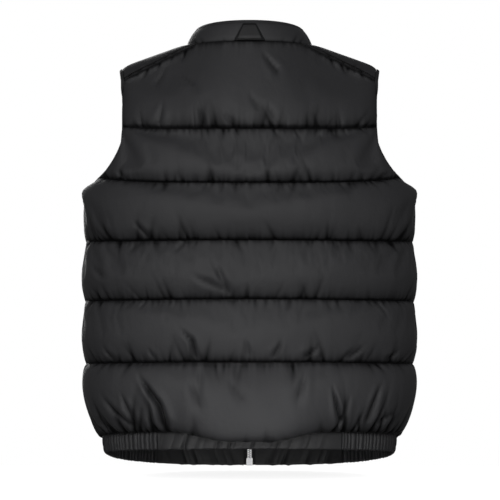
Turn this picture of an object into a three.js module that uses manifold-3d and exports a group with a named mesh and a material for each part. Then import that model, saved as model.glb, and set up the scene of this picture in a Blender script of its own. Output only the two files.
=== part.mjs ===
// Padded sleeveless vest with a stand collar, filled out and hollow, as it hangs on a wearer.
// Millimetres, +Z up, the front faces -Y, the wearer's left is +X.
// The origin lies midway between the middles of the two shoulders, where the vest is carried.
import * as THREE from "three";
import { mergeVertices } from "three/addons/utils/BufferGeometryUtils.js";
import Module from "manifold-3d";

const wasm = await Module();
wasm.setup();

// ---------------------------------------------------------------- driving dimensions
const seamTrim = 0.15; // each piece stops this far short of a flat seam
const bentTrim = 0.5; // and this far short of a seam where two pieces meet at an angle
const seamHalf = 1.2; // half the thickness of the cloth where it is sewn through
const roundness = 2.3; // exponent of the superellipse of each section
const zipGap = 9.5; // from the centre line to the edge of each front
const channels = 6; // padded channels from hem seam (level 0) to neck (level 6)

// Sections of the seam surface. Level n is the n-th sewn line, mid is on the centre line,
// edge is the side seam or the armhole, and turn is how far the section bends round to it.
const backSections = [
  { level: 0, midY: 114, midZ: -620, edgeX: 233, edgeY: 0, edgeZ: -611, turn: 90 },
  { level: 1, midY: 127, midZ: -512, edgeX: 257, edgeY: 0, edgeZ: -496, turn: 90 },
  { level: 2, midY: 128, midZ: -412, edgeX: 259, edgeY: 0, edgeZ: -396, turn: 90 },
  { level: 3, midY: 128, midZ: -318, edgeX: 258, edgeY: 0, edgeZ: -299, turn: 90 },
  { level: 3.6, midY: 128, midZ: -262, edgeX: 257.5, edgeY: 0, edgeZ: -221, turn: 90 },
  { level: 3.8, midY: 127, midZ: -243, edgeX: 247, edgeY: 26, edgeZ: -214, turn: 84 },
  { level: 4, midY: 126, midZ: -225, edgeX: 235, edgeY: 46, edgeZ: -205, turn: 76 },
  { level: 4.35, midY: 124, midZ: -195, edgeX: 213, edgeY: 64, edgeZ: -181, turn: 66 },
  { level: 4.7, midY: 120, midZ: -164, edgeX: 202, edgeY: 68, edgeZ: -152, turn: 58 },
  { level: 5, midY: 115, midZ: -138, edgeX: 200, edgeY: 61, edgeZ: -126, turn: 54 },
];
const frontSections = [
  { level: 0, midY: -114, midZ: -620, edgeX: 233, edgeY: 0, edgeZ: -611, turn: 90 },
  { level: 1, midY: -129, midZ: -512, edgeX: 257, edgeY: 0, edgeZ: -496, turn: 90 },
  { level: 2, midY: -133, midZ: -412, edgeX: 259, edgeY: 0, edgeZ: -396, turn: 90 },
  { level: 3, midY: -135, midZ: -318, edgeX: 258, edgeY: 0, edgeZ: -299, turn: 90 },
  { level: 3.6, midY: -134, midZ: -262, edgeX: 257.5, edgeY: 0, edgeZ: -221, turn: 90 },
  { level: 3.8, midY: -133, midZ: -243, edgeX: 246, edgeY: -25, edgeZ: -214, turn: 84 },
  { level: 4, midY: -132, midZ: -225, edgeX: 231, edgeY: -43, edgeZ: -206, turn: 76 },
  { level: 4.35, midY: -129, midZ: -195, edgeX: 205, edgeY: -60, edgeZ: -184, turn: 66 },
  { level: 4.7, midY: -125, midZ: -164, edgeX: 188, edgeY: -64, edgeZ: -156, turn: 58 },
  { level: 5, midY: -120, midZ: -138, edgeX: 183, edgeY: -57, edgeZ: -124, turn: 54 },
];

// Rings of the collar: half the width, and the heights at back, side and front.
const neckRing = {
  halfX: 100, sideY: -6, backY: 75, frontY: -88, backZ: 11, sideZ: 13, frontZ: -58,
};
const collarTopRing = {
  halfX: 84, sideY: -8, backY: 64, frontY: -79, backZ: 48, sideZ: 45, frontZ: -15,
};
const ringRoundness = 2.2;
const shoulderStart = 0.3; // share of the half neckline where the back shoulder seam starts
const shoulderEnd = 0.55; // and where the front shoulder seam starts
const shoulderOuter = [
  { side: -1, x: 201, y: 28, z: -44 }, // outer end of the back shoulder seam
  { side: 0, x: 204, y: 0, z: -22 }, // outer end of the shoulder's ridge
  { side: 1, x: 199, y: -25, z: -41 }, // outer end of the front shoulder seam
];

// Padding: how far each puff stands out at its crown, and what the inside swells.
const puff = { crown: 19, hemCrown: 29, sideSeam: 3.5, hemSideSeam: 6, inside: 5, shape: 0.55 };
const fadeReach = { side: 95, armhole: 34, zip: 34 };
// How far the lowest puff droops over the hem band, and over what width it starts to.
const hemSag = { back: 52, front: 26, starts: 155, fades: 125, zipFades: 110 };

// The deepest gathers of the lowest puffs: from one point to another, across and up.
const gathers = [
  { panel: "back", fromX: 176, fromZ: -500, toX: 146, toZ: -596, depth: 9, width: 10 },
  { panel: "back", fromX: -131, fromZ: -528, toX: -143, toZ: -596, depth: 9, width: 9 },
  { panel: "back", fromX: -205, fromZ: -530, toX: -184, toZ: -598, depth: 8, width: 9 },
  { panel: "front", fromX: 150, fromZ: -524, toX: 168, toZ: -598, depth: 8, width: 10 },
  { panel: "front", fromX: -158, fromZ: -508, toX: -150, toZ: -596, depth: 8, width: 10 },
];

const band = { height: 27, half: 2.2, inward: 2.2, tuck: 2, elasticBack: 145, elasticFront: 150 };
const collar = { baseHalf: 1.5, padHalf: 3.3, topHalf: 2.2, swell: 1.5 };
const shoulderPad = 4.5;
const binding = { wide: 5, thick: 5.4, gap: 0.85, sides: 8 };
const tab = { topHalf: 11.5, baseHalf: 25, top: 0.83, base: 0.03, thick: 1.4, stand: 3.2, clear: 0.4 };
const zip = {
  teethHalf: 4, teethThick: 1.4, tapeHalf: 0.6, gap: 0.3,
  boxHalf: 5, boxHigh: 11, boxThick: 4.6, sliderZ: -27, steps: 24,
};

// ---------------------------------------------------------------- small helpers
const vec = (x, y, z) => new THREE.Vector3(x, y, z);
const mix = (a, b, t) => a + (b - a) * t;
const clamp01 = (t) => Math.min(1, Math.max(0, t));
const smooth = (t) => clamp01(t) ** 2 * (3 - 2 * clamp01(t));
const steps = (n) => Array.from({ length: n + 1 }, (_, i) => i / n);
const mirrored = (p) => vec(-p.x, p.y, p.z);

// Monotone cubic through the rows of a table, read at one level.
function readTable(rows, key, at, name) {
  const x = rows.map((r) => r[key]);
  const y = rows.map((r) => r[name]);
  const last = x.length - 1;
  const slope = x.slice(1).map((_, i) => (y[i + 1] - y[i]) / (x[i + 1] - x[i]));
  const tangent = x.map((_, i) => {
    if (i === 0) return slope[0];
    if (i === last) return slope[last - 1];
    return slope[i - 1] * slope[i] <= 0 ? 0 : (2 * slope[i - 1] * slope[i]) / (slope[i - 1] + slope[i]);
  });
  const i = Math.min(last - 1, Math.max(0, x.findIndex((v) => v > at) - 1));
  const k = at >= x[last] ? last - 1 : i;
  const h = x[k + 1] - x[k];
  const t = (at - x[k]) / h;
  return (
    (2 * t ** 3 - 3 * t ** 2 + 1) * y[k] + (t ** 3 - 2 * t ** 2 + t) * h * tangent[k] +
    (3 * t ** 2 - 2 * t ** 3) * y[k + 1] + (t ** 3 - t ** 2) * h * tangent[k + 1]
  );
}

// A curve through many points, read by the share of its length.
function byLength(points) {
  const run = [0];
  for (let i = 1; i < points.length; i++) run.push(run[i - 1] + points[i].distanceTo(points[i - 1]));
  const length = run[run.length - 1];
  const at = (share) => {
    const want = clamp01(share) * length;
    const i = Math.max(1, run.findIndex((r) => r >= want - 1e-9));
    const t = (want - run[i - 1]) / (run[i] - run[i - 1]);
    return points[i - 1].clone().lerp(points[i], clamp01(t));
  };
  return { at, length, points };
}

// ---------------------------------------------------------------- the seam surface
const curveSamples = 64;

// One section, from the centre line (or the zip edge) to the side.
function sectionCurve(sections, level, startX) {
  const read = (name) => readTable(sections, "level", level, name);
  const [midY, midZ, edgeX, edgeY, edgeZ] = ["midY", "midZ", "edgeX", "edgeY", "edgeZ"].map(read);
  const turn = THREE.MathUtils.degToRad(read("turn"));
  const power = 2 / roundness;
  const endCos = Math.max(0, Math.cos(turn)) ** power;
  const first = Math.asin(Math.sin(turn) * (startX / edgeX) ** (1 / power));
  return byLength(steps(curveSamples).map((s) => {
    const angle = mix(first, turn, s);
    const x = edgeX * (Math.sin(angle) / Math.sin(turn)) ** power;
    const back = (Math.max(0, Math.cos(angle)) ** power - endCos) / (1 - endCos);
    return vec(x, mix(edgeY, midY, back), mix(midZ, edgeZ, (1 - back) ** 1.3));
  }));
}

// Half a collar ring, from the centre back to the zip edge.
function ringCurve(ring) {
  const power = 2 / ringRoundness;
  const last = Math.PI - Math.asin((zipGap / ring.halfX) ** (1 / power));
  return byLength(steps(curveSamples).map((s) => {
    const angle = s * last;
    const depth = Math.abs(Math.cos(angle)) ** power;
    const back = angle < Math.PI / 2;
    return vec(
      ring.halfX * Math.sin(angle) ** power,
      mix(ring.sideY, back ? ring.backY : ring.frontY, depth),
      mix(ring.sideZ, back ? ring.backZ : ring.frontZ, depth ** 1.6),
    );
  }));
}
const neckCurve = ringCurve(neckRing);
const collarTopCurve = ringCurve(collarTopRing);

// The way out from the neck, level with the ground.
function neckOut(share) {
  const along = neckCurve.at(share + 0.01).sub(neckCurve.at(share - 0.01));
  return vec(-along.y, along.x, 0).normalize();
}
function neckPoint(share, out, lift) {
  const p = neckCurve.at(share).addScaledVector(neckOut(clamp01(share)), out);
  return p.setZ(p.z + lift);
}
const shoulderOuterAt = (side) =>
  vec(...["x", "y", "z"].map((name) => readTable(shoulderOuter, "side", side, name)));

// The top edge of a panel: its share of the neckline, then its shoulder seam.
function topEdge(isBack) {
  const from = isBack ? 0 : 1;
  const to = isBack ? shoulderStart : shoulderEnd;
  const drop = -1.7;
  const neckPart = steps(24).map((t) => neckPoint(mix(from, to, t), 0, drop));
  const seamPart = steps(24).slice(1).map((t) =>
    neckPoint(to, 0, drop).lerp(shoulderOuterAt(isBack ? -1 : 1), t));
  return byLength([...neckPart, ...seamPart]);
}

const panels = {
  back: { sections: backSections, startX: 0, top: topEdge(true) },
  front: { sections: frontSections, startX: zipGap, top: topEdge(false) },
};
const topSeam = channels - 1; // the highest sewn line
const rowCache = new Map();

function rowOf(panel, level) {
  const key = panel + level.toFixed(4);
  if (!rowCache.has(key))
    rowCache.set(key, sectionCurve(panels[panel].sections, level, panels[panel].startX));
  return rowCache.get(key);
}
// A point of the seam surface. across runs from the centre line (0) to the side (1).
function seamPoint(panel, level, across) {
  if (level <= topSeam) return rowOf(panel, level).at(across);
  return rowOf(panel, topSeam).at(across).lerp(panels[panel].top.at(across), level - topSeam);
}
function seamNormal(panel, level, across) {
  const small = 0.01;
  const [a0, a1] = [Math.max(0, across - small), Math.min(1, across + small)];
  const [l0, l1] = [Math.max(0, level - small), Math.min(channels, level + small)];
  const alongRow = seamPoint(panel, level, a1).sub(seamPoint(panel, level, a0));
  const up = seamPoint(panel, l1, across).sub(seamPoint(panel, l0, across));
  const n = up.cross(alongRow).normalize();
  return n.y * (panel === "back" ? 1 : -1) + n.x < 0 ? n.negate() : n;
}

// ---------------------------------------------------------------- padding
const armholeLevel = 3.6; // the level of the bottom of the armhole

const pillow = (distance, reach) => Math.sqrt(1 - (1 - clamp01(distance / reach)) ** 2);

// How high the puff stands at its crown, for a place on the panel.
function crownHeight(panel, level, across) {
  const length = rowOf(panel, Math.min(level, topSeam)).length;
  const lowest = level < 1;
  const full = lowest ? puff.hemCrown : puff.crown;
  const side = lowest ? puff.hemSideSeam : puff.sideSeam;
  const reach = level < armholeLevel ? fadeReach.side : fadeReach.armhole;
  const zipFade = panel === "front" ? pillow(across * length, fadeReach.zip) : 1;
  return mix(side, full, pillow((1 - across) * length, reach)) * mix(0.04, 1, zipFade);
}
function gatherDepth(panel, x, z) {
  return gathers.filter((g) => g.panel === panel).reduce((sum, g) => {
    const [dx, dz] = [g.toX - g.fromX, g.toZ - g.fromZ];
    const t = clamp01(((x - g.fromX) * dx + (z - g.fromZ) * dz) / (dx * dx + dz * dz));
    const off = Math.hypot(x - g.fromX - t * dx, z - g.fromZ - t * dz);
    return sum + g.depth * smooth(t * 2) * Math.exp(-((off / g.width) ** 2));
  }, 0);
}

// The outer and inner faces of a panel at one place.
function panelFaces(panel, level, across, sign) {
  const share = level >= channels ? 1 : level - Math.floor(level);
  const swell = Math.sin(Math.PI * share) ** puff.shape;
  const normal = seamNormal(panel, level, across);
  const point = seamPoint(panel, level, across);
  const outer = point.clone();
  let height = crownHeight(panel, level, across) * swell;
  if (level < 1) {
    const centred = smooth((hemSag.starts - point.x) / hemSag.fades);
    const nearZip = panel === "front" ? smooth((point.x - zipGap) / hemSag.zipFades) : 1;
    const sag = hemSag[panel] * centred * nearZip * Math.sin(Math.PI * share ** 0.65);
    outer.z -= sag;
    height -= Math.min(0.5 * height, gatherDepth(panel, point.x * sign, point.z) * swell);
  }
  outer.addScaledVector(normal, seamHalf + height);
  const inner = point.addScaledVector(normal, -seamHalf - puff.inside * swell * (height > 2 ? 1 : 0));
  if (across === 1 && level <= armholeLevel) {
    const facing = panel === "back" ? 1 : -1;
    [outer, inner].forEach((p) => p.setY(facing * seamTrim)); // the side seam lies where y is 0
  }
  return { outer, inner };
}

// ---------------------------------------------------------------- solids
const geometryOf = (positions, index) => {
  const g = new THREE.BufferGeometry();
  g.setAttribute("position", new THREE.Float32BufferAttribute(positions, 3));
  g.setIndex(index);
  return g;
};
function volumeOf(positions, index) {
  const p = (i) => vec(...positions.slice(3 * index[i], 3 * index[i] + 3));
  let sum = 0;
  for (let i = 0; i < index.length; i += 3) sum += p(i).dot(p(i + 1).cross(p(i + 2)));
  return sum;
}
const facingOut = (positions, index) =>
  geometryOf(positions, volumeOf(positions, index) < 0 ? index.reverse() : index);

// A closed wall between two grids of points, [row][column].
function wall(outer, inner) {
  const rows = outer.length;
  const cols = outer[0].length;
  const positions = [...outer, ...inner].flat().flatMap((p) => [p.x, p.y, p.z]);
  const o = (r, c) => r * cols + c;
  const i = (r, c) => (rows + r) * cols + c;
  const index = [];
  const quad = (a, b, c, d) => index.push(a, b, c, a, c, d);
  for (let r = 0; r < rows - 1; r++)
    for (let c = 0; c < cols - 1; c++) {
      quad(o(r, c), o(r, c + 1), o(r + 1, c + 1), o(r + 1, c));
      quad(i(r, c), i(r + 1, c), i(r + 1, c + 1), i(r, c + 1));
    }
  for (let c = 0; c < cols - 1; c++) {
    quad(i(0, c), i(0, c + 1), o(0, c + 1), o(0, c));
    quad(o(rows - 1, c), o(rows - 1, c + 1), i(rows - 1, c + 1), i(rows - 1, c));
  }
  for (let r = 0; r < rows - 1; r++) {
    quad(o(r, 0), o(r + 1, 0), i(r + 1, 0), i(r, 0));
    quad(i(r, cols - 1), i(r + 1, cols - 1), o(r + 1, cols - 1), o(r, cols - 1));
  }
  return facingOut(positions, index);
}

// A closed ring of sections, each the same number of points.
function loop(sections) {
  const count = sections[0].length;
  const positions = sections.flat().flatMap((p) => [p.x, p.y, p.z]);
  const index = [];
  sections.forEach((_, s) => {
    const next = (s + 1) % sections.length;
    for (let k = 0; k < count; k++) {
      const [a, b] = [s * count + k, s * count + ((k + 1) % count)];
      const [c, d] = [next * count + ((k + 1) % count), next * count + k];
      index.push(a, b, c, a, c, d);
    }
  });
  return facingOut(positions, index);
}

// The zip's pieces are joined and cut as solids.
function solidOf(geometry) {
  const bare = geometry.clone().deleteAttribute("normal").deleteAttribute("uv");
  const merged = mergeVertices(bare, 1e-4);
  return new wasm.Manifold(new wasm.Mesh({
    numProp: 3,
    vertProperties: merged.attributes.position.array,
    triVerts: new Uint32Array(merged.index.array),
  }));
}
function meshOf(solid) {
  const m = solid.getMesh();
  return geometryOf(Array.from(m.vertProperties), Array.from(m.triVerts));
}
const block = (wide, deep, high, x, y, z) =>
  solidOf(new THREE.BoxGeometry(wide, deep, high).translate(x, y, z));

// ---------------------------------------------------------------- materials
const finish = (color, roughness, metalness = 0) =>
  new THREE.MeshStandardMaterial({ color, roughness, metalness });
const shellCloth = finish(0x2b2b2d, 0.55);
const trimCloth = finish(0x232325, 0.65);
const elasticCloth = finish(0x262628, 0.6);
const tapeCloth = finish(0x17171a, 0.85);
const silverMetal = finish(0xc9cacc, 0.3, 1);

const vest = new THREE.Group();
const add = (name, geometry, material, parent = vest) => {
  const mesh = new THREE.Mesh(geometry, material);
  mesh.name = name;
  parent.add(mesh);
  return mesh;
};

// ---------------------------------------------------------------- body panels
// Rows stand closer together beside each sewn line, where the padding turns in.
// The channel with the bottom of the armhole has rows at its two lowest corners.
const puffRows = [0, 0.1, 0.32, 0.66, 0.9];
const underarmRows = [0, 0.1, 0.32, 0.6, 0.7, 0.8, 0.9];
const underarmChannel = Math.floor(armholeLevel);
const panelLevels = [...Array(channels).keys()].flatMap((c) =>
  (c === underarmChannel ? underarmRows : puffRows).map((r) => c + r));
panelLevels.push(channels);
const acrossSteps = 11;

const pull = (from, to, amount) => from.lerp(to, amount / from.distanceTo(to));

// Stops a grid short of its seams, so that neighbouring pieces keep a gap.
function trimGrid(grid, { top = 0, left = 0, right = 0 }) {
  const last = grid.length - 1;
  if (top) grid[last].forEach((p, c) => pull(p, grid[last - 1][c], top));
  grid.forEach((row) => {
    if (left) pull(row[0], row[1], left);
    if (right) pull(row[row.length - 1], row[row.length - 2], right);
  });
  return grid;
}

function makeBack() {
  const across = steps(2 * acrossSteps).map((t) => 2 * t - 1);
  const faces = panelLevels.map((level) => across.map((a) => {
    const f = panelFaces("back", level, Math.abs(a), Math.sign(a));
    return a < 0 ? { outer: mirrored(f.outer), inner: mirrored(f.inner) } : f;
  }));
  const [outer, inner] = ["outer", "inner"].map((side) =>
    trimGrid(faces.map((row) => row.map((f) => f[side])), { top: bentTrim }));
  add("back_panel", wall(outer, inner), shellCloth);
}

function makeFront(name, sign) {
  const across = steps(acrossSteps + 1);
  const faces = panelLevels.map((level) => across.map((a) => {
    const f = panelFaces("front", level, a, sign);
    return sign < 0 ? { outer: mirrored(f.outer), inner: mirrored(f.inner) } : f;
  }));
  const [outer, inner] = ["outer", "inner"].map((side) =>
    trimGrid(faces.map((row) => row.map((f) => f[side])), { top: bentTrim }));
  add(name, wall(outer, inner), shellCloth);
}

// ---------------------------------------------------------------- shoulders
const neckClear = 3.4; // from the neck ring's line to the end of the shoulder piece

// along runs from the neck (0) to the armhole (1), over runs from back (-1) to front (1).
function shoulderPoint(along, over) {
  const share = mix(shoulderStart, shoulderEnd, (over + 1) / 2);
  return neckPoint(share, neckClear, 0.6).lerp(shoulderOuterAt(over), along);
}
function shoulderNormal(along, over) {
  const small = 0.02;
  const [o0, o1] = [Math.max(-1, over - small), Math.min(1, over + small)];
  const run = shoulderPoint(1, over).sub(shoulderPoint(0, over));
  const n = shoulderPoint(along, o1).sub(shoulderPoint(along, o0)).cross(run).normalize();
  return n.z < 0 ? n.negate() : n;
}
function makeShoulder(name, sign) {
  const alongs = steps(7);
  const overs = steps(6).map((t) => 2 * t - 1);
  const offset = (along, over, outward) => {
    const pad = shoulderPad * (1 - over ** 4) * (1 - (2 * along - 1) ** 8);
    const thick = outward ? seamHalf + pad : -seamHalf - 0.3 * pad;
    const p = shoulderPoint(along, over).addScaledVector(shoulderNormal(along, over), thick);
    return sign < 0 ? mirrored(p) : p;
  };
  const trims = { left: bentTrim, right: bentTrim };
  const [outer, inner] = [true, false].map((outward) =>
    trimGrid(alongs.map((a) => overs.map((o) => offset(a, o, outward))), trims));
  add(name, wall(outer, inner), shellCloth);
}

// ---------------------------------------------------------------- collar
// share runs along half the ring, up runs from the neck seam (0) to the top edge (1).
function collarPoint(share, up) {
  const p = neckCurve.at(share).lerp(collarTopCurve.at(share), up);
  return p.addScaledVector(neckOut(share), collar.swell * Math.sin(Math.PI * up));
}
const collarHalfAt = (up) =>
  up < 0.5 ? mix(collar.baseHalf, collar.padHalf, smooth(up * 4))
    : mix(collar.padHalf, collar.topHalf, smooth((up - 0.6) * 2.5));

function makeCollar() {
  const shares = steps(28).map((t) => 2 * t - 1);
  const rows = [
    { up: 0, round: 1 }, { up: 0.22, round: 1 }, { up: 0.55, round: 1 },
    { up: 0.88, round: 1 }, { up: 1, round: 0.4 },
  ];
  const grid = (side) => rows.map(({ up, round }) => shares.map((s) => {
    const p = collarPoint(Math.abs(s), up);
    p.addScaledVector(neckOut(Math.abs(s)), side * round * collarHalfAt(up));
    return s < 0 ? mirrored(p) : p;
  }));
  add("collar", wall(grid(1), grid(-1)), shellCloth);
}

// The trapezoid hanging tab on the back of the collar. Its lower edge stands off.
function makeCollarTab() {
  const rows = steps(4).map((up) => steps(6).map((t) => {
    const x = mix(-1, 1, t) * mix(tab.baseHalf, tab.topHalf, up);
    const share = Math.abs(x) / neckCurve.length;
    const rise = mix(tab.base, tab.top, up);
    const lift = tab.stand * (1 - up) ** 2 * (1 - (mix(-1, 1, t)) ** 4);
    const clear = collarHalfAt(rise) + tab.clear + lift;
    const p = collarPoint(share, rise).addScaledVector(neckOut(share), clear);
    return x < 0 ? mirrored(p) : p;
  }));
  const outer = rows.map((row) => row.map((p) => p.clone().add(vec(0, tab.thick, 0))));
  add("collar_tab", wall(outer, rows), trimCloth);
}

// ---------------------------------------------------------------- armhole bindings
// The armhole's edge, all round, at the same places as the rows of the panels it binds.
function armholeLoop() {
  const edge = (panel, level) => ({
    p: seamPoint(panel, level, 1), n: seamNormal(panel, level, 1),
  });
  const climb = panelLevels.filter((level) => level > armholeLevel);
  const over = steps(6).slice(1, -1).map((t) => {
    const side = 2 * t - 1;
    return { p: shoulderOuterAt(side), n: shoulderNormal(1, side) };
  });
  const bottom = { p: seamPoint("back", armholeLevel, 1), n: vec(1, 0, 0) };
  const back = climb.map((level) => edge("back", level));
  const front = climb.map((level) => edge("front", level)).reverse();
  return [bottom, ...back, ...over, ...front];
}

function makeBinding(name, sign) {
  const ring = armholeLoop();
  const near = (i, k) => ring[(i + k + ring.length) % ring.length];
  const sections = ring.map(({ p, n }, i) => {
    const before = p.clone().sub(near(i, -1).p).normalize();
    const after = near(i, 1).p.clone().sub(p).normalize();
    const tangent = before.clone().add(after).normalize();
    const normal = n.clone().addScaledVector(near(i, -1).n, 0.3).addScaledVector(near(i, 1).n, 0.3);
    const outward = normal.cross(tangent).normalize();
    const face = tangent.clone().cross(outward);
    const mitre = 1 / tangent.dot(after);
    return steps(binding.sides).slice(0, -1).map((t) => {
      const angle = 2 * Math.PI * (t + 0.5 / binding.sides);
      const square = (v) => Math.sign(v) * Math.abs(v) ** 0.7;
      const out = binding.gap + (binding.wide / 2) * (1 + square(Math.cos(angle)));
      const q = p.clone().addScaledVector(outward, out * mitre)
        .addScaledVector(face, (binding.thick / 2) * square(Math.sin(angle)));
      return sign < 0 ? mirrored(q) : q;
    });
  });
  add(name, loop(sections), trimCloth);
}

// ---------------------------------------------------------------- hem
// round runs from the centre back (0) over the side seam (1) to the zip edge (2).
function hemPoint(round, down) {
  const isBack = round <= 1;
  const across = isBack ? round : 2 - round;
  const panel = isBack ? "back" : "front";
  const p = seamPoint(panel, 0, across);
  const n = seamNormal(panel, 0, across).setZ(0).normalize();
  p.addScaledVector(n, -band.inward - band.tuck * down);
  return { p: p.setZ(p.z - 0.8 - band.height * down), n };
}
function roundAt(panel, x) {
  const shares = steps(400);
  const across = shares.find((s) => seamPoint(panel, 0, s).x >= x);
  return panel === "back" ? across : 2 - across;
}
function makeBand(name, from, to, count, material, sign) {
  const rounds = steps(count).map((t) => mix(from, to, t));
  const grid = (side) => [0, 0.5, 1].map((down) => rounds.map((r) => {
    const { p, n } = hemPoint(Math.abs(r), down);
    p.addScaledVector(n, side * band.half);
    return r * sign < 0 ? mirrored(p) : p;
  }));
  const trims = { left: seamTrim, right: to === 2 ? 0 : seamTrim };
  const [outer, inner] = [1, -1].map((side) => trimGrid(grid(side), trims));
  add(name, wall(outer, inner), material);
}
function makeHem() {
  const backEnd = roundAt("back", band.elasticBack);
  const frontEnd = roundAt("front", band.elasticFront);
  makeBand("hem_band_back", -backEnd, backEnd, 12, trimCloth, 1);
  for (const [side, sign] of [["left", 1], ["right", -1]]) {
    makeBand(`hem_elastic_${side}`, backEnd, frontEnd, 16, elasticCloth, sign);
    makeBand(`hem_band_front_${side}`, frontEnd, 2, 7, trimCloth, sign);
  }
}

// ---------------------------------------------------------------- zip
const hemEndZ = frontSections[0].midZ - 0.8 - band.height;
const zipLine = [
  { z: hemEndZ, y: frontSections[0].midY + band.inward + band.tuck },
  ...frontSections.map((s) => ({ z: s.midZ, y: s.midY })),
  { z: neckRing.frontZ, y: neckRing.frontY },
  { z: collarTopRing.frontZ, y: collarTopRing.frontY },
].sort((a, b) => a.z - b.z);
const zipY = (z) => readTable(zipLine, "z", z, "y");
function zipFrame(z) {
  const up = vec(0, zipY(z + 1) - zipY(z - 1), 2).normalize();
  return { point: vec(0, zipY(z), z), out: vec(0, -up.z, up.y) };
}
const zipTopZ = collarTopRing.frontZ - 3;
const boxTopZ = hemEndZ + zip.boxHigh;

function strip(fromZ, toZ, count, half, innerX, outerX) {
  const grid = (side) => steps(count).map((t) => {
    const z = mix(fromZ, toZ, t);
    const { point, out } = zipFrame(z);
    return [innerX, outerX].map((x) => point.clone().setX(x).addScaledVector(out, side * half));
  });
  return wall(grid(1), grid(-1));
}
function makeZipTapes() {
  const inner = zip.teethHalf + zip.gap;
  const outer = zipGap - zip.gap;
  const room = 2 * zip.gap;
  const boxRoom = block(
    2 * zip.boxHalf + room, 40, 2 * (zip.boxHigh + zip.gap), 0, zipY(hemEndZ), hemEndZ);
  for (const [side, sign] of [["left", 1], ["right", -1]]) {
    const tape = solidOf(strip(hemEndZ, zipTopZ, zip.steps, zip.tapeHalf, sign * inner, sign * outer));
    add(`zip_tape_${side}`, meshOf(tape.subtract(boxRoom)), tapeCloth);
  }
}
const slider = { half: 5.5, high: 14, plate: 1.3, inside: 1.8, postHalf: 1.5, postHigh: 4 };

function makeZipTeeth() {
  const topZ = zip.sliderZ + slider.high / 2 - slider.postHigh - zip.gap - 0.3;
  const teeth = strip(
    boxTopZ + 2 * zip.gap, topZ, zip.steps, zip.teethThick, -zip.teethHalf, zip.teethHalf);
  add("zip_teeth", teeth, silverMetal);
}
function makeZipBox() {
  const outline = new THREE.Shape();
  const [w, h, r] = [zip.boxHalf, zip.boxHigh, 1.6];
  outline.moveTo(-w + r, 0).lineTo(w - r, 0).absarc(w - r, r, r, -Math.PI / 2, 0, false)
    .lineTo(w, h).lineTo(-w, h).lineTo(-w, r).absarc(-w + r, r, r, Math.PI, 1.5 * Math.PI, false);
  const shape = new THREE.ExtrudeGeometry(outline, {
    depth: zip.boxThick, bevelEnabled: false, curveSegments: 4,
  });
  shape.translate(0, 0, -zip.boxThick / 2).rotateX(Math.PI / 2);
  const mesh = add("zip_box", shape, silverMetal);
  mesh.position.set(0, zipY(hemEndZ + zip.boxHigh / 2), hemEndZ);
}

// Slider and pull tab, in a frame laid along the zip: +Z up the zip, -Y out of the vest.
const lug = { halfX: 1.1, clear: 2.6, bar: 1.2, halfZ: 2.6, z: -1 };
const pullTab = { half: 3.4, long: 27, thick: 1.4, holeTop: 1.4, holeLong: 5.5, holeHalf: 1.9 };
const faceY = -(slider.inside + slider.plate); // outer face of the front plate

function makeSlider(group) {
  const plateY = slider.inside + slider.plate / 2;
  const plates = [-1, 1].map((s) =>
    block(2 * slider.half, slider.plate, slider.high, 0, s * plateY, 0));
  const postZ = (slider.high - slider.postHigh) / 2;
  const post = block(2 * slider.postHalf, 2 * plateY, slider.postHigh, 0, 0, postZ);
  const reach = lug.clear + lug.bar;
  const legs = [-1, 1].map((s) => block(
    2 * lug.halfX, reach + 0.4, lug.bar, 0, faceY - reach / 2 + 0.2, lug.z + s * lug.halfZ));
  const cross = block(
    2 * lug.halfX, lug.bar, 2 * lug.halfZ + lug.bar, 0, faceY - lug.clear - lug.bar / 2, lug.z);
  const whole = [...plates, post, ...legs, cross].reduce((a, b) => a.add(b));
  add("zip_slider", meshOf(whole), silverMetal, group);
}
function makePull(group) {
  const t = pullTab;
  const outline = new THREE.Shape();
  outline.moveTo(-t.half, t.thick / 2).lineTo(-t.half, -t.long + t.half)
    .absarc(0, -t.long + t.half, t.half, Math.PI, 2 * Math.PI, false)
    .lineTo(t.half, t.thick / 2).lineTo(-t.half, t.thick / 2);
  const hole = new THREE.Path();
  const holeTop = -t.thick / 2;
  hole.moveTo(-t.holeHalf, holeTop).lineTo(t.holeHalf, holeTop)
    .lineTo(t.holeHalf, holeTop - t.holeLong).lineTo(-t.holeHalf, holeTop - t.holeLong)
    .lineTo(-t.holeHalf, holeTop);
  outline.holes.push(hole);
  const plate = new THREE.ExtrudeGeometry(outline, {
    depth: t.thick, bevelEnabled: false, curveSegments: 10,
  });
  plate.rotateX(Math.PI / 2).translate(0, t.thick / 2, 0);
  const mesh = add("zip_pull", plate, silverMetal, group);
  mesh.position.set(0, faceY - lug.clear / 2, lug.z);
}
function makeZipSlider() {
  const { point, out } = zipFrame(zip.sliderZ);
  const group = new THREE.Group();
  group.position.copy(point);
  group.rotation.x = Math.atan2(-out.z, -out.y);
  vest.add(group);
  makeSlider(group);
  makePull(group);
}

makeBack();
makeFront("front_left", 1);
makeFront("front_right", -1);
makeShoulder("shoulder_left", 1);
makeShoulder("shoulder_right", -1);
makeCollar();
makeCollarTab();
makeBinding("armhole_binding_left", 1);
makeBinding("armhole_binding_right", -1);
makeHem();
makeZipTapes();
makeZipTeeth();
makeZipBox();
makeZipSlider();

export default vest;
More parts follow.
